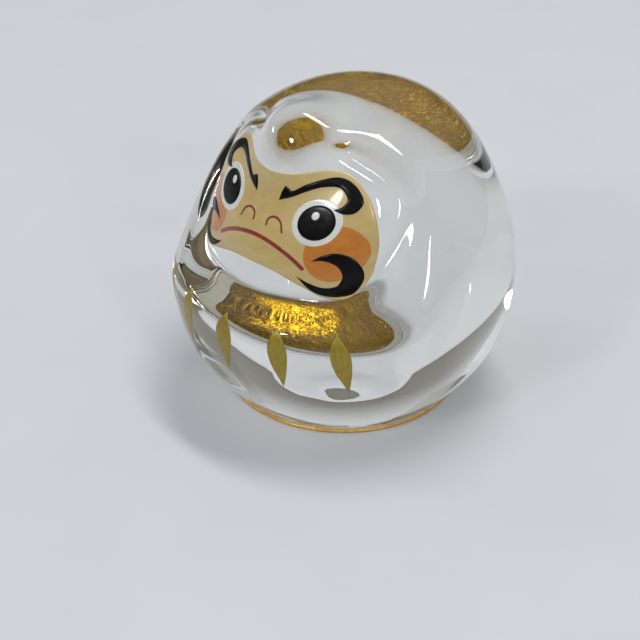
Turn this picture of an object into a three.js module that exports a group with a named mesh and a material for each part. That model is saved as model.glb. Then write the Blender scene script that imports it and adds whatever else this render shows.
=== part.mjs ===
// A daruma doll cast in solid clear glass: a paperweight with a painted face, gold petals
// on the belly and a disc of gold leaf sealed under the base.
//
// Units are millimetres. +Z is up. The doll faces -Y and its own left side is +X.
// The origin is the middle of the face that it stands on.
//
// The glass is one fire-polished solid, described by a signed field: negative inside,
// positive outside, and close to a distance near the surface. Everything painted on it is
// a thin enamel solid that follows the same field.

import * as THREE from 'three';

// ---------------------------------------------------------------- driving dimensions

const BODY = {
  heartHeight: 30,            // height of the point that the profile is drawn around
  crownLean: 5.1,             // how far the crown leans back behind the base
  leanHeight: 36,             // height over which it leans
  profileStep: 20,            // degrees between two profile radii
  profile: [35.5, 37, 36.4, 35.2, 36.2, 36.9, 38.4, 37.5, 42.5, 43.5],   // crown to base
  baseHeight: 0.75,           // flat underside of the glass, above the table
  baseEdge: 0.5,              // rounding of the edge around the underside
};

const FOOT = { radius: 25.1, height: 2.4, blend: 1.2 };   // the short upright rim of the base

const FRONT = {               // the hood's front, a crowned slope that leans back
  reach: 22.9,                // how far forward it is at refHeight
  refHeight: 40,
  slope: 0.7,
  ease: 0.012,                // the slope eases off towards the top
  crownRadius: 47,            // how round it is from side to side
  edge: 5,                    // rounding where it meets the body
};

const LEDGE = {               // the belly's upper edge, under the chin
  height: 34,
  fall: 0.3,                  // drop per millimetre forward
  forward: 27,
  droop: 0.0055,              // it droops towards the sides
  edge: 3,
};

const GROOVE = {              // the valley between the hood's rim and the face
  depth: 2.6,
  halfWidth: 25.6,
  halfHeight: 15,
  middle: 46.8,
  squareness: { above: 2.6, below: 3 },
  dip: 3,
  edge: 3.4,
};

const PILLOW = {              // the convex cushion that the face is painted on
  reach: 24.7,
  middle: 45.6,
  slope: 0.453,
  bow: 0.0133,
  sideRise: 8.6,
  sideRun: 14,
  turn: 14.5,                 // past this, across, the sides turn away faster
  turnRate: 0.05,
  halfWidth: 23.8,
  halfHeight: 13.6,
  squareness: { above: 2.6, below: 4.4 },
  dip: 2,
  edge: 2.6,
  foot: 1.5,
};

const DIP_WIDTH = 5.5;        // the hood's point, which hangs over the forehead
const DIP_RUN = 6;

const KNOB = { radius: 6.9, forward: 12.85, height: 59.2, blend: 8.9 };   // on the hood's brow

const ENAMEL = { gap: 0.2, thickness: 0.15 };   // each painted layer and the gap under it

const BASE = {
  sealRadius: 25.2,
  sealThickness: 0.25,
  gap: 0.15,                  // between the seal, the leaf and the glass
  leafRadius: 21.5,
  leafThickness: 0.2,
};

// ---------------------------------------------------------------- the glass field

const smoothMax = (a, b, blend) => {
  const h = Math.max(blend - Math.abs(a - b), 0) / blend;
  return Math.max(a, b) + h * h * blend / 4;
};
const smoothMin = (a, b, blend) => -smoothMax(-a, -b, blend);
const clamp = (v, low, high) => Math.min(Math.max(v, low), high);

// Radius of the profile at a polar angle from the crown: a uniform cubic B-spline.
function profileRadius(angle) {
  const t = angle / THREE.MathUtils.degToRad(BODY.profileStep);
  const i = Math.floor(t);
  const u = t - i;
  const last = BODY.profile.length - 1;
  const radius = (j) => {
    const k = Math.abs(j);
    return BODY.profile[k > last ? 2 * last - k : k];
  };
  const before = (1 - u) ** 3 * radius(i - 1);
  const here = (3 * u ** 3 - 6 * u ** 2 + 4) * radius(i);
  const next = (-3 * u ** 3 + 3 * u ** 2 + 3 * u + 1) * radius(i + 1);
  const after = u ** 3 * radius(i + 2);
  return (before + here + next + after) / 6;
}

function bodyField(x, y, z) {
  const dz = z - BODY.heartHeight;
  const dy = y - BODY.crownLean * (Math.max(dz, 0) / BODY.leanHeight) ** 2;
  const reach = Math.hypot(x, dy, dz);
  const wall = reach - profileRadius(Math.acos(clamp(dz / Math.max(reach, 1e-9), -1, 1)));
  const foot = smoothMax(Math.hypot(x, y) - FOOT.radius, z - FOOT.height, FOOT.blend);
  return smoothMin(wall, foot, FOOT.blend);
}

function frontSlope(x, z) {
  const up = z - FRONT.refHeight;
  const ease = FRONT.ease * Math.max(up, 0) ** 2;
  return -FRONT.reach + FRONT.slope * up - ease + x * x / (2 * FRONT.crownRadius);
}

function pillowFront(x, z) {
  const up = z - PILLOW.middle;
  const turned = Math.max(Math.abs(x) - PILLOW.turn, 0);
  const side = PILLOW.sideRise * (Math.hypot(1, x / PILLOW.sideRun) - 1)
    + PILLOW.turnRate * turned ** 2;
  return -PILLOW.reach + PILLOW.slope * up + PILLOW.bow * up * up + side;
}

// Distance outside a rounded oval, seen from the front, whose top dips in the middle.
const OVAL_SCALE = 0.425;     // of its half width and half height together, to get millimetres
function oval(x, z, shape) {
  const up = z - shape.middle;
  const dip = shape.dip * Math.exp(-((x / DIP_WIDTH) ** 2)) * clamp(up / DIP_RUN, 0, 1);
  const power = up > 0 ? shape.squareness.above : shape.squareness.below;
  const across = (Math.abs(x) / shape.halfWidth) ** power;
  const along = (Math.abs(up + dip) / shape.halfHeight) ** power;
  const size = OVAL_SCALE * (shape.halfWidth + shape.halfHeight);
  return ((across + along) ** (1 / power) - 1) * size;
}

function glassField(x, y, z) {
  const ahead = frontSlope(x, z) - y;
  const ledge = LEDGE.height + LEDGE.fall * (y + LEDGE.forward) - LEDGE.droop * x * x;
  const above = z - ledge;
  const slopeCut = smoothMin(ahead, above, LEDGE.edge);
  let field = smoothMax(bodyField(x, y, z), slopeCut, FRONT.edge);

  const grooveCut = smoothMin(ahead + GROOVE.depth, above, GROOVE.edge);
  const groove = smoothMin(grooveCut, -oval(x, z, GROOVE), GROOVE.edge);
  field = smoothMax(field, groove, GROOVE.edge);

  let pillow = smoothMax(pillowFront(x, z) - y, oval(x, z, PILLOW), PILLOW.edge);
  pillow = smoothMax(pillow, y, 1);
  field = smoothMin(field, pillow, PILLOW.foot);

  const knob = Math.hypot(x, y + KNOB.forward, z - KNOB.height) - KNOB.radius;
  field = smoothMin(field, knob, KNOB.blend);
  return smoothMax(field, BODY.baseHeight - z, BODY.baseEdge);
}

// First place where a ray that starts outside meets the glass.
const MARCH = 0.25;
function meetGlass(start, direction, reach = 70) {
  const point = new THREE.Vector3();
  const field = (t) => {
    point.copy(start).addScaledVector(direction, t);
    return glassField(point.x, point.y, point.z);
  };
  let inside = 0;
  while (field(inside) > 0 && inside < reach) {
    inside += MARCH;
  }
  let outside = inside - MARCH;
  for (let i = 0; i < 30; i += 1) {
    const middle = (inside + outside) / 2;
    if (field(middle) > 0) {
      outside = middle;
    } else {
      inside = middle;
    }
  }
  return start.clone().addScaledVector(direction, (inside + outside) / 2);
}

function glassNormal(p) {
  const h = 0.05;
  return new THREE.Vector3(
    glassField(p.x + h, p.y, p.z) - glassField(p.x - h, p.y, p.z),
    glassField(p.x, p.y + h, p.z) - glassField(p.x, p.y - h, p.z),
    glassField(p.x, p.y, p.z + h) - glassField(p.x, p.y, p.z - h),
  ).normalize();
}

// ---------------------------------------------------------------- mesh helpers

function geometryFrom(points, triangles) {
  const geometry = new THREE.BufferGeometry();
  geometry.setFromPoints(points);
  geometry.setIndex(triangles.flat());
  geometry.computeVertexNormals();
  return geometry;
}

// The glass itself: rays from a point inside it, closer together over the face.
function glassGeometry() {
  const heart = new THREE.Vector3(0, 2, 38);
  const around = 80;
  const rings = 44;
  const faceCrowding = 0.42;
  const reach = 60;
  const points = [];
  const pointAt = (polar, turn) => {
    const direction = new THREE.Vector3(
      Math.sin(polar) * Math.sin(turn),
      -Math.sin(polar) * Math.cos(turn),
      Math.cos(polar),
    );
    const start = heart.clone().addScaledVector(direction, reach);
    return meetGlass(start, direction.negate(), reach);
  };
  for (let ring = 1; ring < rings; ring += 1) {
    const polar = Math.PI * ring / rings;
    for (let i = 0; i < around; i += 1) {
      const turn = 2 * Math.PI * i / around;
      points.push(pointAt(polar, turn - faceCrowding * Math.sin(turn)));
    }
  }
  const crown = points.push(pointAt(0, 0)) - 1;
  const foot = points.push(pointAt(Math.PI, 0)) - 1;
  const triangles = [];
  for (let i = 0; i < around; i += 1) {
    const j = (i + 1) % around;
    for (let ring = 0; ring < rings - 2; ring += 1) {
      const upper = ring * around;
      const lower = upper + around;
      triangles.push([upper + i, lower + i, lower + j], [upper + i, lower + j, upper + j]);
    }
    const last = (rings - 2) * around;
    triangles.push([crown, i, j], [foot, last + j, last + i]);
  }
  return geometryFrom(points, triangles);
}

// Where a flat pattern lands on the glass: the face is laid on from the front, and the
// belly is wrapped around the upright axis.
const onFace = (u, v) => meetGlass(new THREE.Vector3(u, -60, v), new THREE.Vector3(0, 1, 0));

const BELLY_RADIUS = 35.5;
function onBelly(u, v) {
  const turn = u / BELLY_RADIUS;
  const outward = new THREE.Vector3(Math.sin(turn), -Math.cos(turn), 0);
  const start = outward.clone().multiplyScalar(60).setZ(v);
  return meetGlass(start, outward.negate());
}

// A thin closed solid of enamel over a flat pattern: triangles of pattern points, and the
// ring of points that runs round its edge counterclockwise, as seen from outside.
function enamelGeometry(points, triangles, rim, layer, place) {
  const low = ENAMEL.gap + layer * (ENAMEL.gap + ENAMEL.thickness);
  const high = low + ENAMEL.thickness;
  const landed = points.map(([u, v]) => place(u, v));
  const normals = landed.map(glassNormal);
  const lifted = (height) => landed.map((p, i) => p.clone().addScaledVector(normals[i], height));
  const count = points.length;
  const faces = [];
  triangles.forEach(([a, b, c]) => {
    faces.push([a + count, b + count, c + count], [a, c, b]);
  });
  rim.forEach((a, i) => {
    const b = rim[(i + 1) % rim.length];
    faces.push([a, b, b + count], [a, b + count, a + count]);
  });
  return geometryFrom([...lifted(low), ...lifted(high)], faces);
}

// A broad patch: rings of points between its middle and its outline, closer together near
// the outline, where the glass under it may turn away.
function patchGeometry(outline, middle, rings, layer, place = onFace) {
  const around = outline.length;
  const points = [middle];
  for (let ring = 1; ring <= rings; ring += 1) {
    const share = (ring / rings + Math.sin(Math.PI / 2 * ring / rings)) / 2;
    outline.forEach(([u, v]) => {
      points.push([middle[0] + (u - middle[0]) * share, middle[1] + (v - middle[1]) * share]);
    });
  }
  const triangles = [];
  for (let i = 0; i < around; i += 1) {
    const j = (i + 1) % around;
    triangles.push([0, 1 + i, 1 + j]);
    for (let ring = 1; ring < rings; ring += 1) {
      const inner = 1 + (ring - 1) * around;
      const outer = inner + around;
      triangles.push([inner + i, outer + i, outer + j], [inner + i, outer + j, inner + j]);
    }
  }
  const rim = outline.map((_, i) => 1 + (rings - 1) * around + i);
  return enamelGeometry(points, triangles, rim, layer, place);
}

// A brush stroke: a narrow outline, filled straight across.
function strokeGeometry(outline, layer) {
  const contour = outline.map(([u, v]) => new THREE.Vector2(u, v));
  const triangles = THREE.ShapeUtils.triangulateShape(contour, []);
  return enamelGeometry(outline, triangles, outline.map((_, i) => i), layer, onFace);
}

// A line of even width with round ends, drawn along a smooth curve.
function lineGeometry(curve, width, steps, layer) {
  const knots = curve.map(([u, v]) => new THREE.Vector3(u, v, 0));
  const spline = new THREE.CatmullRomCurve3(knots, false, 'centripetal');
  const points = [];
  for (let i = 0; i <= steps; i += 1) {
    const t = i / steps;
    const p = spline.getPoint(t);
    const along = spline.getTangent(t);
    const half = width / 2 * Math.max(1 - Math.abs(2 * t - 1) ** 12, 0.25);
    points.push([p.x + along.y * half, p.y - along.x * half]);
    points.push([p.x - along.y * half, p.y + along.x * half]);
  }
  const triangles = [];
  for (let i = 0; i < steps; i += 1) {
    const right = 2 * i;
    const left = right + 1;
    triangles.push([right, right + 2, left + 2], [right, left + 2, left]);
  }
  const rights = points.map((_, i) => i).filter((i) => i % 2 === 0);
  const lefts = rights.map((i) => i + 1).reverse();
  return enamelGeometry(points, triangles, [...rights, ...lefts], layer, onFace);
}

// ---------------------------------------------------------------- outlines

// Points along smooth curves. Each curve is a list of [u, v] points, and starts where the
// one before it ends: the outline has a corner there. One closed curve has no corner.
function traced(curves, stepsPerSpan) {
  const outline = [];
  curves.forEach((curve) => {
    const knots = curve.map(([u, v]) => new THREE.Vector3(u, v, 0));
    const spline = new THREE.CatmullRomCurve3(knots, false, 'centripetal');
    const steps = stepsPerSpan * (curve.length - 1);
    for (let i = 0; i < steps; i += 1) {
      const p = spline.getPoint(i / steps);
      outline.push([p.x, p.y]);
    }
  });
  return counterclockwise(outline);
}

function counterclockwise(outline) {
  const area = THREE.ShapeUtils.area(outline.map(([u, v]) => new THREE.Vector2(u, v)));
  return area > 0 ? outline : outline.reverse();
}

function ellipse([u, v], halfWidth, halfHeight, around) {
  const outline = [];
  for (let i = 0; i < around; i += 1) {
    const turn = 2 * Math.PI * i / around;
    outline.push([u + halfWidth * Math.cos(turn), v + halfHeight * Math.sin(turn)]);
  }
  return outline;
}

const mirrored = (points) => points.map(([u, v]) => [-u, v]);

// The painted face, seen from the front: [across, up]. Pairs are drawn for the doll's left.
const FACE_MIDDLE = [0, 46];
const SKIN_HALF = [
  [0, 55.9], [5, 56.4], [10.5, 57.6], [14.6, 56.9], [18.4, 54.1], [20.6, 50.6], [22.1, 46],
  [22.2, 41.5], [20.9, 38.5], [18.9, 36.6], [16.2, 35.6], [11.7, 36.3], [6, 37.9], [0, 38.4],
];
const EYE = { middle: [11.8, 48.4], white: [4.7, 4.25], pupil: [3.6, 3.2] };
const GLINT = { left: [11.3, 49.6], right: [-11.3, 49.9], radius: 0.75 };
const CHEEK = { middle: [16.3, 43.3], half: [5.3, 5.3] };
const EYEBROW = [
  [[3, 50.9], [3.3, 52.6], [3.8, 53.9]],
  [[3.8, 53.9], [4.6, 53.6], [5.3, 53.2], [7.9, 54.9], [12.6, 56.6], [16.2, 55.4], [18.4, 52.7],
    [17.8, 51], [16.2, 50.6], [13.9, 51.1]],
  [[13.9, 51.1], [15.3, 51.8], [15.8, 53], [13.9, 54.8], [10.9, 54.7], [8.3, 53.6],
    [5.7, 52.1], [3, 50.9]],
];
const WHISKER = [
  [[12.7, 41.3], [14.6, 42.8], [16.9, 43.6], [19.3, 42.9], [20.9, 41], [21.6, 38.4], [20.9, 35.9],
    [18.9, 35.1], [16, 35.1], [13.4, 36], [10.6, 38.1]],
  [[10.6, 38.1], [13.5, 37.1], [16.3, 36.7], [18.1, 37.3], [18.6, 39.1], [17.7, 40.9],
    [16.2, 41.7], [14.4, 41.8], [12.7, 41.3]],
];
const NOSTRIL = { curve: [[1.8, 46], [1.9, 47.1], [3.2, 47.8], [4.8, 47.2], [5.7, 45.5]], width: 0.5 };
const MOUTH = { half: [[0, 43.6], [2.6, 43.4], [6.4, 42.4], [9.3, 41.1], [11.5, 39.7]], width: 0.85 };

// The belly's petals, wrapped round it: [along the belly, up].
const PETAL = {
  count: 5,
  spacing: 12,                // along the belly
  middle: 1.2,                // the middle petal sits a little to the doll's left
  lean: 0.1,                  // the outer tips lean outward
  top: 30.4,
  tip: 17,
  curves: [
    [[0, 1], [-1.3, 0.86], [-2, 0.68], [-1.7, 0.42], [-0.6, 0.17], [0, 0]],
    [[0, 0], [0.9, 0.2], [1.7, 0.45], [2, 0.7], [1.2, 0.88], [0, 1]],
  ],
};

// ---------------------------------------------------------------- the pieces

const paint = (color, roughness = 0.35, metalness = 0) => (
  new THREE.MeshStandardMaterial({ color, roughness, metalness })
);

const doll = new THREE.Group();

function add(name, geometry, material) {
  const mesh = new THREE.Mesh(geometry, material);
  mesh.name = name;
  doll.add(mesh);
}

function addPair(name, left, right, material) {
  add(`${name}_left`, left, material());
  add(`${name}_right`, right, material());
}

function addGlass() {
  add('glass_body', glassGeometry(), paint(0xeef4f2, 0.04));
}

function turned(profile) {
  const points = profile.map(([r, z]) => new THREE.Vector2(r, z));
  return new THREE.LatheGeometry(points, 80).rotateX(Math.PI / 2);
}

function disc(radius, bottom, thickness) {
  const top = bottom + thickness;
  return turned([[0, bottom], [radius, bottom], [radius, top], [0, top]]);
}

function addBase() {
  add('base_seal', disc(BASE.sealRadius, 0, BASE.sealThickness), paint(0xe9e2cd, 0.7));
  const leafBottom = BASE.sealThickness + BASE.gap;
  const leaf = disc(BASE.leafRadius, leafBottom, BASE.leafThickness);
  add('gold_leaf', leaf, paint(0xc79a22, 0.3, 1));
}

function addSkin() {
  const otherHalf = mirrored(SKIN_HALF.slice(0, -1).reverse());
  const outline = traced([[...SKIN_HALF, ...otherHalf]], 2);
  add('face_ground', patchGeometry(outline, FACE_MIDDLE, 10, 0), paint(0xcfb26c));
}

function addEyes() {
  const [across, up] = EYE.middle;
  const disc = (middle, [halfWidth, halfHeight], rings, layer) => (
    patchGeometry(ellipse(middle, halfWidth, halfHeight, 28), middle, rings, layer)
  );
  const pair = (half, rings, layer) => [
    disc([across, up], half, rings, layer),
    disc([-across, up], half, rings, layer),
  ];
  addPair('eye_white', ...pair(EYE.white, 3, 2), () => paint(0xd6d6cf));
  addPair('pupil', ...pair(EYE.pupil, 2, 3), () => paint(0x0c0c0c, 0.15));
  const glint = (middle) => (
    patchGeometry(ellipse(middle, GLINT.radius, GLINT.radius, 14), middle, 1, 4)
  );
  addPair('eye_glint', glint(GLINT.left), glint(GLINT.right), () => paint(0xcfcfc9));
}

function addStrokes() {
  const cheek = (side) => {
    const middle = [side * CHEEK.middle[0], CHEEK.middle[1]];
    return patchGeometry(ellipse(middle, ...CHEEK.half, 28), middle, 3, 1);
  };
  addPair('cheek', cheek(1), cheek(-1), () => paint(0xcc6f22));
  const strokePair = (name, curves) => {
    const outline = traced(curves, 3);
    const left = strokeGeometry(outline, 3);
    const right = strokeGeometry(mirrored(outline).reverse(), 3);
    addPair(name, left, right, () => paint(0x0c0c0c, 0.15));
  };
  strokePair('eyebrow', EYEBROW);
  strokePair('whisker', WHISKER);
  const nostril = (curve) => lineGeometry(curve, NOSTRIL.width, 12, 1);
  const otherNostril = mirrored(NOSTRIL.curve).reverse();
  addPair('nostril', nostril(NOSTRIL.curve), nostril(otherNostril), () => paint(0x8c1a14));
  const otherHalf = mirrored(MOUTH.half.slice(1).reverse());
  const mouth = lineGeometry([...otherHalf, ...MOUTH.half], MOUTH.width, 36, 1);
  add('mouth', mouth, paint(0x8c1a14));
}

function addPetals() {
  const height = PETAL.top - PETAL.tip;
  for (let i = 0; i < PETAL.count; i += 1) {
    const middle = PETAL.middle + (i - (PETAL.count - 1) / 2) * PETAL.spacing;
    const curves = PETAL.curves.map((curve) => curve.map(([u, share]) => (
      [middle + u + (1 - share) * PETAL.lean * middle, PETAL.tip + share * height]
    )));
    const outline = traced(curves, 3);
    const heart = [middle + PETAL.lean * middle / 2, (PETAL.top + PETAL.tip) / 2];
    const petal = patchGeometry(outline, heart, 3, 0, onBelly);
    add(`petal_${i + 1}`, petal, paint(0xa8892a, 0.35, 0.6));
  }
}

addGlass();
addBase();
addSkin();
addEyes();
addStrokes();
addPetals();

export default doll;
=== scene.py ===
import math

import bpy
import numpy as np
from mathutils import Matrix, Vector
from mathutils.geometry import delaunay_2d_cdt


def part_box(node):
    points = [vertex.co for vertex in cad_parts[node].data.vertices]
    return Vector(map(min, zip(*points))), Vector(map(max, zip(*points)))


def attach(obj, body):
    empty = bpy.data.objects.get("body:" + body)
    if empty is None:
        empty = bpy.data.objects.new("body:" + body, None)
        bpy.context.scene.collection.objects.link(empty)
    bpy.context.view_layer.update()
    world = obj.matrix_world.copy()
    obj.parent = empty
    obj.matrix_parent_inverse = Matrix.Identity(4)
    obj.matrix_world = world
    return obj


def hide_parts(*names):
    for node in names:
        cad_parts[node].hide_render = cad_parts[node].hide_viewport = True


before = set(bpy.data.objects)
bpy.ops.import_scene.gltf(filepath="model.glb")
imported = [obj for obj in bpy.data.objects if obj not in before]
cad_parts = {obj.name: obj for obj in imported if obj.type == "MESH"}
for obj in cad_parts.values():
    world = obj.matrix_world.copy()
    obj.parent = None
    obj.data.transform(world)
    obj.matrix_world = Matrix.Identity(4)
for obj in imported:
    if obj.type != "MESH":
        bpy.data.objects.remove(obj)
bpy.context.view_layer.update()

# A daruma doll cast in solid clear glass, with an enamel-painted face, gold petals on the
# belly and a disc of gold leaf sealed under its flat base.
#
# Shapes are drawn in millimetres and turned into metres as each mesh is made. +Z is up.
# The doll faces -Y and its own left side is +X.

# ---------------------------------------------------------------- the glass surface

BODY = dict(
    heart=30, lean=5.1, lean_height=36, step=math.radians(20),
    profile=np.array([35.5, 37, 36.4, 35.2, 36.2, 36.9, 38.4, 37.5, 42.5, 43.5]),
    base=0.75, base_edge=0.5,
)
FOOT = dict(radius=25.1, height=2.4, blend=1.2)
FRONT = dict(reach=22.9, middle=40, slope=0.7, ease=0.012, crown_radius=47, edge=5)
LEDGE = dict(height=34, fall=0.3, forward=27, droop=0.0055, edge=3)
GROOVE = dict(
    depth=2.6, half_width=25.6, half_height=15, middle=46.8,
    above=2.6, below=3, dip=3, edge=3.4,
)
PILLOW = dict(
    reach=24.7, middle=45.6, slope=0.453, bow=0.0133, side_rise=8.6, side_run=14,
    turn=14.5, turn_rate=0.05, half_width=23.8, half_height=13.6, above=2.6, below=4.4,
    dip=2, edge=2.6, foot=1.5, back_blend=1,
)
DIP_WIDTH = 5.5
DIP_RUN = 6
OVAL_SCALE = 0.425     # of its half width and half height together, to get millimetres
KNOB = dict(radius=6.9, forward=12.85, height=59.2, blend=8.9)


def smooth_max(a, b, blend):
    h = np.maximum(blend - np.abs(a - b), 0) / blend
    return np.maximum(a, b) + h * h * blend / 4


def smooth_min(a, b, blend):
    return -smooth_max(-a, -b, blend)


def profile_radius(angle):
    """Radius of the body's outline at an angle from the crown: a uniform cubic B-spline."""
    t = angle / BODY["step"]
    i = np.floor(t).astype(int)
    u = t - i
    last = len(BODY["profile"]) - 1

    def radius(j):
        j = np.abs(j)
        return BODY["profile"][np.where(j > last, 2 * last - j, j)]

    before = (1 - u) ** 3 * radius(i - 1)
    here = (3 * u ** 3 - 6 * u ** 2 + 4) * radius(i)
    after = (-3 * u ** 3 + 3 * u ** 2 + 3 * u + 1) * radius(i + 1)
    return (before + here + after + u ** 3 * radius(i + 2)) / 6


def body_field(x, y, z):
    dz = z - BODY["heart"]
    dy = y - BODY["lean"] * (np.maximum(dz, 0) / BODY["lean_height"]) ** 2
    reach = np.sqrt(x * x + dy * dy + dz * dz)
    wall = reach - profile_radius(np.arccos(np.clip(dz / np.maximum(reach, 1e-9), -1, 1)))
    foot = smooth_max(np.hypot(x, y) - FOOT["radius"], z - FOOT["height"], FOOT["blend"])
    return smooth_min(wall, foot, FOOT["blend"])


def front_slope(x, z):
    up = z - FRONT["middle"]
    ease = FRONT["ease"] * np.maximum(up, 0) ** 2
    return -FRONT["reach"] + FRONT["slope"] * up - ease + x * x / (2 * FRONT["crown_radius"])


def pillow_front(x, z):
    up = z - PILLOW["middle"]
    side = PILLOW["side_rise"] * (np.hypot(1, x / PILLOW["side_run"]) - 1)
    side = side + PILLOW["turn_rate"] * np.maximum(np.abs(x) - PILLOW["turn"], 0) ** 2
    return -PILLOW["reach"] + PILLOW["slope"] * up + PILLOW["bow"] * up * up + side


def oval(x, z, shape):
    """Distance outside a rounded oval, seen from the front, whose top dips in the middle."""
    up = z - shape["middle"]
    dip = shape["dip"] * np.exp(-(x / DIP_WIDTH) ** 2) * np.clip(up / DIP_RUN, 0, 1)
    power = np.where(up > 0, shape["above"], shape["below"])
    across = (np.abs(x) / shape["half_width"]) ** power
    along = (np.abs(up + dip) / shape["half_height"]) ** power
    size = OVAL_SCALE * (shape["half_width"] + shape["half_height"])
    return ((across + along) ** (1 / power) - 1) * size


def glass_field(points):
    """Below zero inside the glass, above zero outside, and close to a distance near it."""
    x, y, z = points[:, 0], points[:, 1], points[:, 2]
    ahead = front_slope(x, z) - y
    ledge = LEDGE["height"] + LEDGE["fall"] * (y + LEDGE["forward"]) - LEDGE["droop"] * x * x
    above = z - ledge
    slope_cut = smooth_min(ahead, above, LEDGE["edge"])
    field = smooth_max(body_field(x, y, z), slope_cut, FRONT["edge"])

    groove_cut = smooth_min(ahead + GROOVE["depth"], above, GROOVE["edge"])
    groove = smooth_min(groove_cut, -oval(x, z, GROOVE), GROOVE["edge"])
    field = smooth_max(field, groove, GROOVE["edge"])

    pillow = smooth_max(pillow_front(x, z) - y, oval(x, z, PILLOW), PILLOW["edge"])
    pillow = smooth_max(pillow, y, PILLOW["back_blend"])
    field = smooth_min(field, pillow, PILLOW["foot"])

    knob = np.sqrt(x * x + (y + KNOB["forward"]) ** 2 + (z - KNOB["height"]) ** 2)
    field = smooth_min(field, knob - KNOB["radius"], KNOB["blend"])
    return smooth_max(field, BODY["base"] - z, BODY["base_edge"])


SHORTEST_STEP = 0.2
LONGEST_STEP = 4
HALVINGS = 24


def meet_glass(start, direction, reach):
    """First place where each ray that starts outside meets the glass: a march with steps
    of half the field's value, and then halvings of the last step."""
    start, direction = np.broadcast_arrays(start, direction)
    outside = np.zeros(len(start))
    inside = np.full(len(start), float(reach))
    going = np.ones(len(start), bool)
    t = np.zeros(len(start))
    while going.any():
        value = glass_field(start[going] + direction[going] * t[going, None])
        hit = value <= 0
        where = np.flatnonzero(going)
        inside[where[hit]] = t[where[hit]]
        outside[where[~hit]] = t[where[~hit]]
        t[where[~hit]] += np.clip(0.5 * value[~hit], SHORTEST_STEP, LONGEST_STEP)
        going[where[hit]] = False
        going &= t < reach
    for _ in range(HALVINGS):
        middle = (inside + outside) / 2
        solid = glass_field(start + direction * middle[:, None]) <= 0
        inside = np.where(solid, middle, inside)
        outside = np.where(solid, outside, middle)
    return start + direction * ((inside + outside) / 2)[:, None]


def glass_normal(points):
    h = 0.05
    slope = np.stack([
        glass_field(points + h * axis) - glass_field(points - h * axis) for axis in np.eye(3)
    ], 1)
    return slope / np.linalg.norm(slope, axis=1)[:, None]


# ---------------------------------------------------------------- mesh helpers

def new_piece(name, points, faces, material, node, sharp=()):
    """A smooth mesh of points in millimetres that stands for a node of the frame."""
    mesh = bpy.data.meshes.new(name)
    mesh.from_pydata((np.asarray(points) / 1000).tolist(), [], faces)
    mesh.shade_smooth()
    sharp = set(sharp)
    if sharp:
        for edge in mesh.edges:
            edge.use_edge_sharp = edge.vertices[0] in sharp and edge.vertices[1] in sharp
    mesh.materials.append(material)
    piece = bpy.data.objects.new(name, mesh)
    bpy.context.collection.objects.link(piece)
    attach(piece, "root")
    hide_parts(node)
    return piece


def make_glass(material):
    """Rays from a point inside the doll, closer together over the face."""
    heart = np.array([0.0, 2.0, 38.0])
    around, rings = 420, 300
    crowding = 0.42
    reach = 60
    polar = np.linspace(0, np.pi, rings + 1)[1:-1]
    turn = np.linspace(0, 2 * np.pi, around, endpoint=False)
    turn = turn - crowding * np.sin(turn)
    polar, turn = np.meshgrid(polar, turn, indexing="ij")
    rays = np.stack([
        np.sin(polar) * np.sin(turn), -np.sin(polar) * np.cos(turn), np.cos(polar),
    ], -1).reshape(-1, 3)
    rays = np.vstack([rays, [0, 0, 1], [0, 0, -1]])
    points = meet_glass(heart + rays * reach, -rays, reach)

    grid = np.arange((rings - 1) * around).reshape(rings - 1, around)
    upper, lower = grid[:-1], grid[1:]
    quads = np.stack([upper, lower, np.roll(lower, -1, 1), np.roll(upper, -1, 1)], -1)
    faces = quads.reshape(-1, 4).tolist()
    crown, foot = len(points) - 2, len(points) - 1
    for a, b in zip(grid[0], np.roll(grid[0], -1)):
        faces.append([crown, int(a), int(b)])
    for a, b in zip(grid[-1], np.roll(grid[-1], -1)):
        faces.append([foot, int(b), int(a)])
    return new_piece("Glass", points, faces, material, "glass_body")


AWAY = 60.0     # where the rays that lay enamel on the glass start, and how far they look
REACH = 70
BELLY_RADIUS = 35.5


def on_face(flat):
    """The face is laid on from the front: [across, up]."""
    start = np.stack([flat[:, 0], np.full(len(flat), -AWAY), flat[:, 1]], 1)
    return meet_glass(start, np.array([0.0, 1.0, 0.0]), REACH)


def on_belly(flat):
    """The belly's pattern is wrapped round the upright axis: [along, up]."""
    turn = flat[:, 0] / BELLY_RADIUS
    outward = np.stack([np.sin(turn), -np.cos(turn), np.zeros(len(flat))], 1)
    start = outward * AWAY
    start[:, 2] = flat[:, 1]
    return meet_glass(start, -outward, REACH)


def spline(knots, step=0.25):
    """Points about step apart along a centripetal Catmull-Rom curve, without the last."""
    knots = np.asarray(knots, float)
    closed = np.allclose(knots[0], knots[-1])
    ends = (knots[-2], knots[1]) if closed else (2 * knots[0] - knots[1], 2 * knots[-1] - knots[-2])
    padded = np.vstack([ends[0], knots, ends[1]])
    points = []
    for a, b, c, d in zip(padded, padded[1:], padded[2:], padded[3:]):
        count = max(int(np.linalg.norm(c - b) / step), 2)
        t0 = 0.0
        t1 = t0 + np.linalg.norm(b - a) ** 0.5
        t2 = t1 + np.linalg.norm(c - b) ** 0.5
        t3 = t2 + np.linalg.norm(d - c) ** 0.5
        t = np.linspace(t1, t2, count, endpoint=False)[:, None]
        a1 = (t1 - t) / (t1 - t0) * a + (t - t0) / (t1 - t0) * b
        a2 = (t2 - t) / (t2 - t1) * b + (t - t1) / (t2 - t1) * c
        a3 = (t3 - t) / (t3 - t2) * c + (t - t2) / (t3 - t2) * d
        b1 = (t2 - t) / (t2 - t0) * a1 + (t - t0) / (t2 - t0) * a2
        b2 = (t3 - t) / (t3 - t1) * a2 + (t - t1) / (t3 - t1) * a3
        points.append((t2 - t) / (t2 - t1) * b1 + (t - t1) / (t2 - t1) * b2)
    return np.vstack(points)


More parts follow.
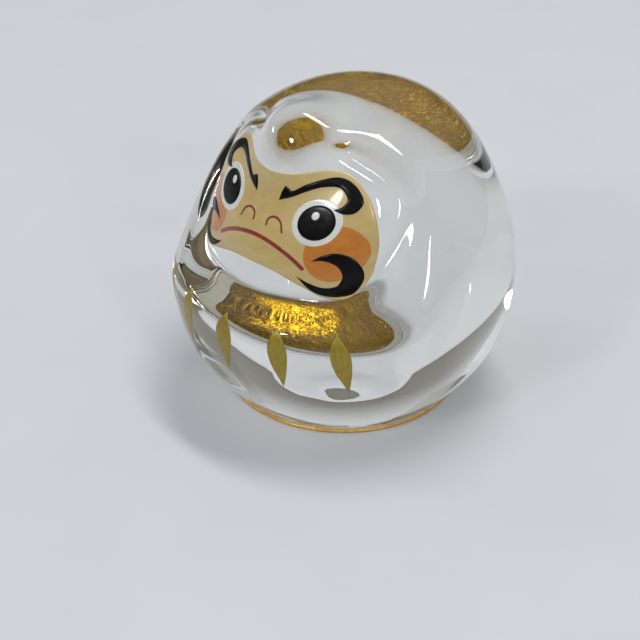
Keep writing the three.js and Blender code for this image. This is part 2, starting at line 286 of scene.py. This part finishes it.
def counterclockwise(outline):
    x, y = outline[:, 0], outline[:, 1]
    area = np.sum(x * np.roll(y, -1) - y * np.roll(x, -1))
    return outline if area > 0 else outline[::-1]


def traced(*curves):
    return counterclockwise(np.vstack([spline(curve) for curve in curves]))


def ellipse(middle, half_width, half_height):
    count = int(max(half_width, half_height) * 24) + 16
    turn = np.linspace(0, 2 * np.pi, count, endpoint=False)
    return np.array(middle) + np.stack([half_width * np.cos(turn), half_height * np.sin(turn)], 1)


def line(knots, width):
    """The outline of a line of even width with round ends."""
    middle = np.vstack([spline(knots, 0.2), [knots[-1]]])
    along = np.gradient(middle, axis=0)
    along /= np.linalg.norm(along, axis=1)[:, None]
    across = np.stack([along[:, 1], -along[:, 0]], 1) * width / 2

    def cap(centre, start):
        turn = np.linspace(0, np.pi, 9)[1:-1]
        side = np.array([-start[1], start[0]])
        return centre + np.cos(turn)[:, None] * start + np.sin(turn)[:, None] * side

    first = cap(middle[-1], across[-1])
    last = cap(middle[0], -across[0])
    return counterclockwise(np.vstack([middle + across, first, (middle - across)[::-1], last]))


def mirrored(points):
    return np.asarray(points, float) * [-1, 1]


def distance_inside(points, outline):
    """Distance of each point inside an outline, and below zero outside it."""
    a = outline
    b = np.roll(outline, -1, 0)
    span = b - a
    best = np.full(len(points), np.inf)
    crossings = np.zeros(len(points), int)
    for p, q, d in zip(a, b, span):
        rel = points - p
        t = np.clip((rel @ d) / max(d @ d, 1e-12), 0, 1)
        best = np.minimum(best, np.hypot(*(rel - t[:, None] * d).T))
        spans = (p[1] > points[:, 1]) != (q[1] > points[:, 1])
        with np.errstate(divide="ignore", invalid="ignore"):
            side = points[:, 0] < (q[0] - p[0]) * (points[:, 1] - p[1]) / (q[1] - p[1]) + p[0]
        crossings += spans & side
    return np.where(crossings % 2 == 1, best, -best)


TRIANGLE_HEIGHT = 0.866     # of an even triangle's side
RING_TURNS = (0.3, 0.65, 1.05, math.pi / 2)     # rings of points round the rounded edge
RING_KEEP = 0.93     # a ring's point is left out where another part of the outline is nearer
GRID_GAP = 0.3     # between the rounded edge and the grid inside it, of the grid's spacing


def make_enamel(name, node, slot, outline, material, low, thick, edge=0.25, place=on_face,
                spacing=0.55):
    """Enamel with a rounded edge over a flat outline, laid on the glass. Its underside is
    low millimetres above the glass, and the paint is thick millimetres high."""
    outward = np.roll(outline, 1, 0) - np.roll(outline, -1, 0)
    inward = np.stack([outward[:, 1], -outward[:, 0]], 1)
    inward /= np.maximum(np.linalg.norm(inward, axis=1), 1e-9)[:, None]
    flat = [outline]
    for turn in RING_TURNS:
        offset = edge * (1 - math.cos(turn))
        ring = outline + inward * offset
        flat.append(ring[distance_inside(ring, outline) > RING_KEEP * offset])
    lowest, highest = outline.min(0), outline.max(0)
    rows = np.arange(lowest[1], highest[1], spacing * TRIANGLE_HEIGHT)
    grid = np.array([
        (u + (i % 2) * spacing / 2, v)
        for i, v in enumerate(rows) for u in np.arange(lowest[0], highest[0], spacing)
    ])
    flat.append(grid[distance_inside(grid, outline) > edge + GRID_GAP * spacing])
    flat = np.vstack(flat)
    rim = list(range(len(outline)))
    points, _, triangles, origins, _, _ = delaunay_2d_cdt(
        [Vector(p) for p in flat], [], [rim], 1, 1e-4)
    on_rim = [any(i < len(outline) for i in origin) for origin in origins]
    flat = np.array([tuple(p) for p in points])

    depth = np.where(on_rim, 0, np.maximum(distance_inside(flat, outline), 0))
    height = thick * np.sqrt(1 - (1 - np.minimum(depth / edge, 1)) ** 2)
    landed = place(flat)
    normal = glass_normal(landed)
    top = landed + normal * (low + height)[:, None]
    under = landed + normal * low
    below = np.arange(len(flat))
    inner = np.flatnonzero(~np.array(on_rim))
    below[inner] = len(flat) + np.arange(len(inner))
    faces = [list(t) for t in triangles]
    faces += [[int(below[i]) for i in reversed(t)] for t in triangles]
    rim_points = np.flatnonzero(on_rim).tolist()
    return new_piece(name, np.vstack([top, under[inner]]), faces, material, node, rim_points)


def lathe(name, node, profile, material, around=160):
    """A closed solid turned round the upright axis: [radius, height], from axis to axis."""
    profile = np.asarray(profile, float)
    turn = np.linspace(0, 2 * np.pi, around, endpoint=False)
    ring = np.stack([np.cos(turn), np.sin(turn)], 1)
    points = [[0, 0, profile[0][1]], [0, 0, profile[-1][1]]]
    for radius, height in profile[1:-1]:
        points += [[radius * c, radius * s, height] for c, s in ring]
    rings = len(profile) - 2
    faces = []
    for i in range(around):
        j = (i + 1) % around
        faces.append([0, 2 + j, 2 + i])
        for k in range(rings - 1):
            a = 2 + k * around
            faces.append([a + i, a + j, a + around + j, a + around + i])
        a = 2 + (rings - 1) * around
        faces.append([1, a + i, a + j])
    piece = new_piece(name, points, faces, material, node)
    piece.data.set_sharp_from_angle(angle=math.radians(50))
    return piece


# ---------------------------------------------------------------- materials

def fill_ramp(ramp, stops):
    """Give a colour ramp its stops: (position, colour), where one number is a grey."""
    elements = ramp.color_ramp.elements
    while len(elements) < len(stops):
        elements.new(0.5)
    for element, (position, colour) in zip(elements, stops):
        grey = isinstance(colour, (int, float))
        element.position = position
        element.color = (colour, colour, colour, 1) if grey else (*colour, 1)


class Shader:
    """A material with one Principled shader, and short ways to add nodes to it."""

    def __init__(self, name, **sockets):
        self.material = bpy.data.materials.new(name)
        self.material.use_nodes = True
        self.tree = self.material.node_tree
        self.bsdf = self.tree.nodes["Principled BSDF"]
        for socket, value in sockets.items():
            self.bsdf.inputs[socket.replace("_", " ")].default_value = value
        self.place = self.tree.nodes.new("ShaderNodeTexCoord").outputs["Object"]

    def node(self, kind, sockets, **settings):
        node = self.tree.nodes.new(kind)
        for key, value in settings.items():
            setattr(node, key, value)
        for key, value in sockets.items():
            if isinstance(value, bpy.types.NodeSocket):
                self.tree.links.new(value, node.inputs[key])
            else:
                node.inputs[key].default_value = value
        return node

    def noise(self, size, detail=2.0, roughness=0.5, place=None):
        """Noise whose blotches are about size millimetres across."""
        return self.node("ShaderNodeTexNoise", {
            "Vector": place or self.place, "Scale": 1000 / size, "Detail": detail,
            "Roughness": roughness,
        }).outputs["Fac"]

    def ramp(self, value, *stops):
        node = self.node("ShaderNodeValToRGB", {"Fac": value})
        fill_ramp(node, stops)
        return node.outputs["Color"]

    def maths(self, operation, a, b=0.0):
        node = self.node("ShaderNodeMath", {0: a, 1: b}, operation=operation)
        return node.outputs[0]

    def mix(self, share, a, b):
        node = self.node("ShaderNodeMix", {"Factor": share}, data_type="RGBA")
        for socket, value in ((node.inputs[6], a), (node.inputs[7], b)):
            if isinstance(value, bpy.types.NodeSocket):
                self.tree.links.new(value, socket)
            else:
                socket.default_value = (*value, 1)
        return node.outputs[2]

    def bump(self, height, depth, after=None):
        """Bump of depth millimetres where height goes from 0 to 1."""
        sockets = {"Height": height, "Distance": depth / 1000, "Strength": 1.0}
        if after is not None:
            sockets["Normal"] = after
        return self.node("ShaderNodeBump", sockets).outputs["Normal"]

    def wire(self, **sockets):
        for socket, value in sockets.items():
            self.tree.links.new(value, self.bsdf.inputs[socket.replace("_", " ")])
        return self.material


def clear_glass():
    """Fire-polished glass: faint waves, and nothing else."""
    s = Shader("clear glass", Base_Color=(0.975, 0.987, 0.955, 1), Roughness=0.0, IOR=1.52,
               Transmission_Weight=1.0)
    waves = s.noise(9, 1.0, 0.4)
    return s.wire(Normal=s.bump(waves, 0.03))


def gold_leaf():
    """Torn leaf and glitter: flat flakes that each lean their own way."""
    s = Shader("gold leaf", Metallic=1.0)
    flake_size, flake_lean = 0.55, 0.5
    crumb_size, crumb_lean = 0.2, 0.7
    flakes = s.node("ShaderNodeTexVoronoi", {"Vector": s.place, "Scale": 1000 / flake_size})
    crumbs = s.node("ShaderNodeTexVoronoi", {"Vector": s.place, "Scale": 1000 / crumb_size})

    def lean(cells, share):
        tilt = s.node("ShaderNodeVectorMath", {0: cells.outputs["Color"], 1: (0.5, 0.5, 0.5)},
                      operation="SUBTRACT").outputs[0]
        product = s.node("ShaderNodeVectorMath", {0: tilt, 1: s.place}, operation="DOT_PRODUCT")
        return s.maths("MULTIPLY", product.outputs["Value"], share)

    height = s.maths("ADD", lean(flakes, flake_lean), lean(crumbs, crumb_lean))
    facets = s.node("ShaderNodeBump", {"Height": height, "Distance": 1.0, "Strength": 1.0})
    creases = s.bump(s.noise(2.4, 4, 0.6), 0.06, after=facets.outputs["Normal"])
    tone = s.ramp(s.noise(1.7, 5, 0.7), (0.3, (0.54, 0.26, 0.003)), (0.55, (0.83, 0.47, 0.01)),
                  (0.75, (1.0, 0.74, 0.045)))
    share = s.node("ShaderNodeSeparateColor", {"Color": crumbs.outputs["Color"]}).outputs[0]
    fleck = s.ramp(share, (0.0, 0.55), (0.85, 1.0))
    tone = s.node("ShaderNodeMix", {"Factor": 1.0, 6: tone, 7: fleck}, data_type="RGBA",
                  blend_type="MULTIPLY").outputs[2]
    rough = s.ramp(share, (0.0, 0.4), (0.75, 0.28), (1.0, 0.1))
    return s.wire(Base_Color=tone, Roughness=rough, Normal=creases)


def base_seal(radius):
    """Cream lacquer, with gold brushed round its edge."""
    s = Shader("base seal", IOR=1.5, Coat_Weight=0.6, Coat_Roughness=0.06)
    across = s.node("ShaderNodeSeparateXYZ", {"Vector": s.place}).outputs
    reach = s.maths("SQRT", s.maths("ADD", s.maths("POWER", across["X"], 2.0),
                                    s.maths("POWER", across["Y"], 2.0)))
    gold_width = 0.35
    edge = s.maths("GREATER_THAN", reach, (radius - gold_width) / 1000)
    cream = s.ramp(s.noise(3.5, 5, 0.6), (0.3, (0.62, 0.58, 0.46)), (0.7, (0.76, 0.73, 0.62)))
    gold = s.ramp(s.noise(1.5, 4, 0.6), (0.3, (0.70, 0.33, 0.03)), (0.7, (0.93, 0.58, 0.09)))
    rough = s.ramp(s.noise(1.2, 3), (0.3, 0.25), (0.7, 0.45))
    return s.wire(Base_Color=s.mix(edge, cream, gold), Roughness=rough,
                  Metallic=s.maths("MULTIPLY", edge, 0.6), Normal=s.bump(s.noise(0.8, 3), 0.03))


def enamel(name, light, dark, roughness, peel=0.012, coat=0.6, ior=1.5):
    """Glossy hand-painted enamel: uneven colour, brush drag and orange peel."""
    s = Shader(name, IOR=ior, Coat_Weight=coat, Coat_Roughness=0.06)
    drag = s.node("ShaderNodeMapping", {"Vector": s.place, "Scale": (1, 1, 2.6)}).outputs[0]
    tone = s.ramp(s.noise(3.0, 4, 0.6, drag), (0.3, dark), (0.7, light))
    rough = s.ramp(s.noise(1.1, 3), (0.3, roughness - 0.06), (0.7, roughness + 0.06))
    smooth = s.bump(s.noise(1.6, 1.5), peel * 2)
    grain = s.bump(s.noise(0.28, 2, 0.6), peel, after=smooth)
    return s.wire(Base_Color=tone, Roughness=rough, Normal=grain)


def gold_enamel():
    """Gold paint: fine metal flakes in lacquer, with the marks of the brush."""
    s = Shader("gold enamel", Metallic=0.6, IOR=1.5, Coat_Weight=0.3, Coat_Roughness=0.15)
    drag = s.node("ShaderNodeMapping", {"Vector": s.place, "Scale": (3, 3, 0.7)}).outputs[0]
    tone = s.ramp(s.noise(1.3, 4, 0.6, drag), (0.3, (0.27, 0.19, 0.018)), (0.7, (0.39, 0.29, 0.035)))
    rough = s.ramp(s.noise(0.25, 2), (0.3, 0.38), (0.7, 0.52))
    brush = s.bump(s.noise(0.6, 3, 0.6, drag), 0.02)
    return s.wire(Base_Color=tone, Roughness=rough, Normal=s.bump(s.noise(0.1, 1), 0.01, after=brush))


# ---------------------------------------------------------------- the painted face

SKIN_HALF = [
    [0, 55.9], [5, 56.4], [10.5, 57.6], [14.6, 56.9], [18.4, 54.1], [20.6, 50.6], [22.1, 46],
    [22.5, 41.5], [22.2, 37.8], [20.4, 35.1], [17, 34.6], [11.7, 36.2], [6, 37.9], [0, 38.4],
]
EYE_MIDDLE = [11.8, 48.4]
EYE_WHITE = [4.7, 4.25]
PUPIL = [3.6, 3.2]
GLINTS = dict(left=[11.3, 49.6], right=[-11.3, 49.9])
GLINT_RADIUS = 0.75
CHEEK_MIDDLE = [16.3, 43.3]
CHEEK = [5.3, 5.3]
EYEBROW = [
    [[3, 50.9], [3.3, 52.6], [3.8, 53.9]],
    [[3.8, 53.9], [4.6, 53.6], [5.3, 53.2], [7.9, 54.9], [12.6, 56.6], [16.2, 55.4], [18.4, 52.7],
     [17.8, 51], [16.2, 50.6], [13.9, 51.1]],
    [[13.9, 51.1], [15.3, 51.8], [15.8, 53], [13.9, 54.8], [10.9, 54.7], [8.3, 53.6],
     [5.7, 52.1], [3, 50.9]],
]
WHISKER = [
    [[12.7, 41.3], [14.6, 42.8], [16.9, 43.6], [19.3, 42.9], [20.9, 41], [21.6, 38.4],
     [20.9, 35.9], [18.9, 35.1], [16, 35.1], [13.4, 36], [10.6, 38.1]],
    [[10.6, 38.1], [13.5, 37.1], [16.3, 36.7], [18.1, 37.3], [18.6, 39.1], [17.7, 40.9],
     [16.2, 41.7], [14.4, 41.8], [12.7, 41.3]],
]
NOSTRIL = [[1.8, 46], [1.9, 47.1], [3.2, 47.8], [4.8, 47.2], [5.7, 45.5]]
NOSTRIL_WIDTH = 0.5
MOUTH_HALF = [[0, 43.6], [2.6, 43.4], [6.4, 42.4], [9.3, 41.1], [11.5, 39.7]]
MOUTH_WIDTH = 0.85

# How far each coat's underside is above the glass, and how thick the coat is. Each one is
# sunk a little into what it is painted on.
SKIN_COAT = (-0.03, 0.15)
TINT_COAT = (0.09, 0.07)
WHITE_COAT = (0.1, 0.09)
BLACK_COAT = (0.1, 0.22)
GLINT_COAT = (0.28, 0.12)
PETAL_COAT = (-0.03, 0.13)


def make_face():
    skin = enamel("ochre enamel", (0.59, 0.44, 0.17), (0.51, 0.365, 0.125), 0.34)
    white = enamel("white enamel", (0.74, 0.74, 0.70), (0.66, 0.66, 0.61), 0.25)
    black = enamel("black enamel", (0.006, 0.006, 0.0065), (0.002, 0.002, 0.0025), 0.2,
                   peel=0.006, coat=0.0, ior=1.24)
    orange = enamel("orange enamel", (0.56, 0.205, 0.018), (0.47, 0.15, 0.012), 0.34)
    red = enamel("red enamel", (0.30, 0.022, 0.016), (0.2, 0.012, 0.01), 0.3)

    half = np.array(SKIN_HALF)
    outline = traced(np.vstack([half, mirrored(half[:-1])[::-1]]))
    make_enamel("Skin", "face_ground", "ochre_enamel", outline, skin, *SKIN_COAT, edge=0.35)

    def pair(name, node, slot, outline, material, coat, edge=0.2):
        for side, shape in (("left", outline), ("right", counterclockwise(mirrored(outline)))):
            make_enamel(f"{name}.{side}", f"{node}_{side}", slot, shape, material, *coat,
                        edge=edge, spacing=0.45)

    pair("Cheek", "cheek", "orange_enamel", ellipse(CHEEK_MIDDLE, *CHEEK), orange, TINT_COAT)
    pair("EyeWhite", "eye_white", "white_enamel", ellipse(EYE_MIDDLE, *EYE_WHITE), white, WHITE_COAT)
    pair("Pupil", "pupil", "black_enamel", ellipse(EYE_MIDDLE, *PUPIL), black, BLACK_COAT, 0.45)
    pair("Eyebrow", "eyebrow", "black_enamel", traced(*EYEBROW), black, BLACK_COAT, 0.4)
    pair("Whisker", "whisker", "black_enamel", traced(*WHISKER), black, BLACK_COAT, 0.4)
    pair("Nostril", "nostril", "red_enamel", line(NOSTRIL, NOSTRIL_WIDTH), red, TINT_COAT, 0.15)
    for side, middle in GLINTS.items():
        make_enamel(f"Glint.{side}", f"eye_glint_{side}", "white_enamel",
                    ellipse(middle, GLINT_RADIUS, GLINT_RADIUS), white, *GLINT_COAT, edge=0.3,
                    spacing=0.3)
    half = np.array(MOUTH_HALF)
    mouth = line(np.vstack([mirrored(half[1:])[::-1], half]).tolist(), MOUTH_WIDTH)
    make_enamel("Mouth", "mouth", "red_enamel", mouth, red, *TINT_COAT, edge=0.2, spacing=0.4)


# ---------------------------------------------------------------- petals and base

PETAL = dict(
    count=5, spacing=12, middle=1.2, lean=0.1, top=30.4, tip=17,
    curves=[
        [[0, 1], [-1.3, 0.86], [-2, 0.68], [-1.7, 0.42], [-0.6, 0.17], [0, 0]],
        [[0, 0], [0.9, 0.2], [1.7, 0.45], [2, 0.7], [1.2, 0.88], [0, 1]],
    ],
)


def make_petals():
    gold = gold_enamel()
    height = PETAL["top"] - PETAL["tip"]
    for i in range(PETAL["count"]):
        middle = PETAL["middle"] + (i - (PETAL["count"] - 1) / 2) * PETAL["spacing"]
        curves = [[
            [middle + u + (1 - share) * PETAL["lean"] * middle, PETAL["tip"] + share * height]
            for u, share in curve
        ] for curve in PETAL["curves"]]
        make_enamel(f"Petal.{i + 1}", f"petal_{i + 1}", "gold_enamel", traced(*curves), gold,
                    *PETAL_COAT, edge=0.25, place=on_belly, spacing=0.45)


LEAF_SUNK = 0.06     # how far the leaf and the seal reach into the glass
SEAL_SUNK = 0.02


def make_base():
    low, high = np.array(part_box("gold_leaf")) * 1000
    under = BODY["base"]
    lathe("Leaf", "gold_leaf", [
        [0, low[2]], [high[0], low[2]], [high[0], under + LEAF_SUNK], [0, under + LEAF_SUNK],
    ], gold_leaf())
    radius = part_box("base_seal")[1][0] * 1000
    lathe("Seal", "base_seal", [
        [0, 0], [radius - 0.3, 0], [radius - 0.05, 0.08], [radius + 0.12, 0.35],
        [radius + 0.05, 0.6], [radius - 0.15, under - 0.01], [radius - 0.55, under + SEAL_SUNK],
        [0, under + SEAL_SUNK],
    ], base_seal(radius))


make_glass(clear_glass())
make_face()
make_petals()
make_base()


# ---------------------------------------------------------------- floor, light and camera

def make_floor():
    mesh = bpy.data.meshes.new("Floor")
    reach = 3.0
    mesh.from_pydata([(-reach, -reach, 0), (reach, -reach, 0), (reach, reach, 0),
                      (-reach, reach, 0)], [], [(0, 1, 2, 3)])
    s = Shader("floor", Roughness=0.75)
    tone = s.ramp(s.noise(30, 3), (0.3, (0.60, 0.61, 0.635)), (0.7, (0.62, 0.63, 0.655)))
    mesh.materials.append(s.wire(Base_Color=tone))
    floor = bpy.data.objects.new("Floor", mesh)
    bpy.context.collection.objects.link(floor)


def make_lamp(name, azimuth, elevation, distance, size, power, colour=(1, 1, 1)):
    """A soft lamp aimed at the doll. Azimuth 0 is in front of the doll, 90 at its left."""
    turn, rise = math.radians(azimuth), math.radians(elevation)
    aim = Vector((0, 0, 0.035))
    away = Vector((math.sin(turn) * math.cos(rise), -math.cos(turn) * math.cos(rise), math.sin(rise)))
    light = bpy.data.lights.new(name, "AREA")
    light.shape = "ELLIPSE"
    light.size, light.size_y = size
    light.energy = power
    light.color = colour
    lamp = bpy.data.objects.new(name, light)
    bpy.context.collection.objects.link(lamp)
    lamp.location = aim + away * distance
    lamp.rotation_euler = away.to_track_quat("Z", "Y").to_euler()


def make_world():
    """A pale studio: bright around, softer straight overhead, dim and warm near the floor."""
    world = bpy.data.worlds.new("Studio")
    bpy.context.scene.world = world
    world.use_nodes = True
    tree = world.node_tree
    height = tree.nodes.new("ShaderNodeSeparateXYZ")
    tree.links.new(tree.nodes.new("ShaderNodeTexCoord").outputs["Generated"], height.inputs[0])
    ramp = tree.nodes.new("ShaderNodeValToRGB")
    tree.links.new(height.outputs["Z"], ramp.inputs["Fac"])
    stops = [(0.0, (0.16, 0.145, 0.12)), (0.18, (0.20, 0.19, 0.17)), (0.5, (0.50, 0.51, 0.52)),
             (0.78, (0.70, 0.725, 0.77)), (1.0, (0.38, 0.39, 0.40))]
    fill_ramp(ramp, stops)
    tree.links.new(ramp.outputs["Color"], tree.nodes["Background"].inputs["Color"])


VIEW_TURN = math.radians(43.7)
VIEW_PITCH = math.radians(31.3)
VIEW_PLACE = (0.1808, -0.1965, 0.1748)
FOCAL = 79.7


def make_camera():
    turn = Matrix.Rotation(VIEW_TURN, 3, "Z")
    forward = turn @ Vector((0, math.cos(VIEW_PITCH), -math.sin(VIEW_PITCH)))
    right = turn @ Vector((1, 0, 0))
    up = right.cross(forward)
    data = bpy.data.cameras.new("Camera")
    data.lens = FOCAL
    data.sensor_width = 36
    camera = bpy.data.objects.new("Camera", data)
    bpy.context.collection.objects.link(camera)
    axes = Matrix((right, up, -forward)).transposed().to_4x4()
    camera.matrix_world = Matrix.Translation(VIEW_PLACE) @ axes
    bpy.context.scene.camera = camera


make_floor()
make_world()
make_lamp("Ceiling", 175, 76, 1.3, (1.0, 0.16), 7)
make_lamp("Front", 1, 33, 1.2, (0.22, 0.16), 2.2, (0.97, 0.98, 1.0))
make_lamp("Left", 68, 24, 1.1, (0.06, 0.4), 1.4)
make_lamp("Right", -71, 16, 1.1, (0.25, 0.05), 0.8)
make_camera()
bpy.context.scene.view_settings.view_transform = "Standard"
